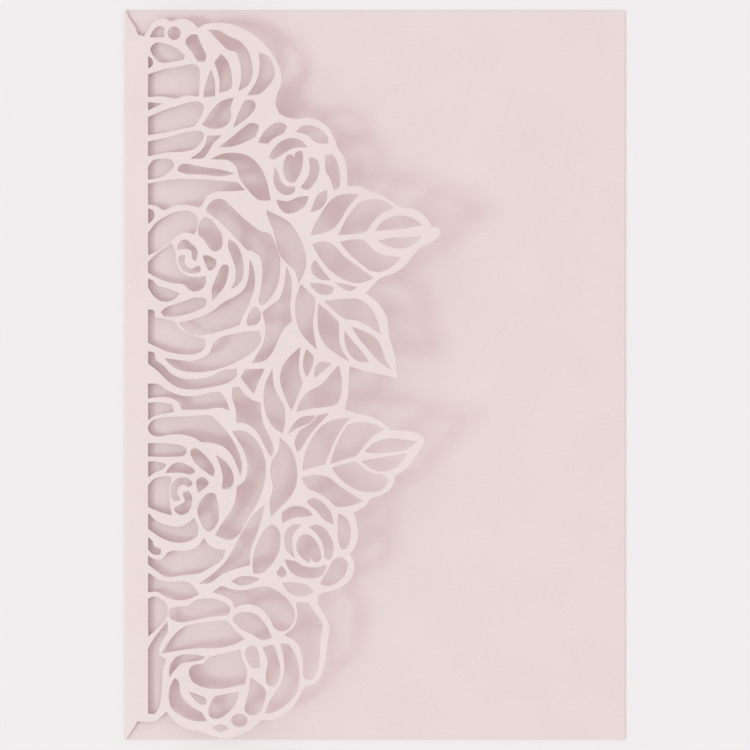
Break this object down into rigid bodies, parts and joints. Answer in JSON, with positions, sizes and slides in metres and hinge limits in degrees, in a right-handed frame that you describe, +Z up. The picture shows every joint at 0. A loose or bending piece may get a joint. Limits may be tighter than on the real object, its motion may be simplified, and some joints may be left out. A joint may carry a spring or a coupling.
{
  "type": "pocket fold invitation",
  "caption": "Tall card folded along its left side, with a plain back panel and a raised openwork flap of roses and leaves that holds inserts beneath it.",
  "frame": {"origin": "centre of the bounding box in X and Y, on the underside of the back panel", "axes": "+X from the fold to the open side, +Y towards the top edge, +Z up from the back panel through the flap"},
  "size_m": [0.127, 0.185, 0.0148],
  "materials": {
    "blush_card": "pale blush card with a faint pearl sheen"
  },
  "bodies": {
    "root": {"folded_sheet": "blush_card"}
  },
  "joints": []
}
